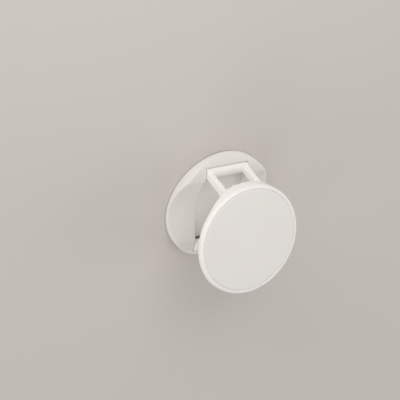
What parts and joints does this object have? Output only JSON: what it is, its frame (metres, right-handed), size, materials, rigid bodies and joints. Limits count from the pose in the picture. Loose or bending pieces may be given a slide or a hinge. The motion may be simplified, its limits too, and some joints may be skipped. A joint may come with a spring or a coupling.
{
  "type": "phone holder",
  "caption": "Round stick-on phone grip and stand: a base with a finger valley carries a tilted disc on two folding links, leaving room for one or two fingers.",
  "frame": {"origin": "middle of the adhesive pad's underside, where it meets the surface it sticks to", "axes": "+X along the hinge axes, +Y from the lower hinge to the upper one, +Z out of the surface towards the disc"},
  "size_m": [0.044, 0.0464, 0.0287],
  "materials": {
    "white_plastic": "satin white moulding",
    "white_face": "fine matt white",
    "adhesive_foam": "matt pale grey foam tape"
  },
  "bodies": {
    "base": {"base": "white_plastic", "adhesive_pad": "adhesive_foam"},
    "upper_link": {"upper_link": "white_plastic"},
    "lower_link": {"lower_link": "white_plastic"},
    "disc": {"disc_body": "white_plastic", "face_panel": "white_face"}
  },
  "joints": [
    {"name": "upper_hinge", "type": "hinge", "parent": "base", "child": "upper_link", "pos_m": [0, 0.0157, 0.0032], "axis": [1, 0, 0], "range_deg": [0, 77.5]},
    {"name": "disc_hinge", "type": "hinge", "parent": "upper_link", "child": "disc", "pos_m": [0, 0.01346, 0.01529], "axis": [1, 0, 0], "range_deg": [-67.5, 0]},
    {"name": "lower_hinge", "type": "hinge", "parent": "base", "child": "lower_link", "pos_m": [0, -0.0157, 0.0032], "axis": [1, 0, 0], "range_deg": [-89.5, 0]}
  ],
  "couplings": [
    {"joint": "disc_hinge", "follows": "upper_hinge", "ratio": -0.866},
    {"joint": "lower_hinge", "follows": "upper_hinge", "ratio": -1.151}
  ]
}
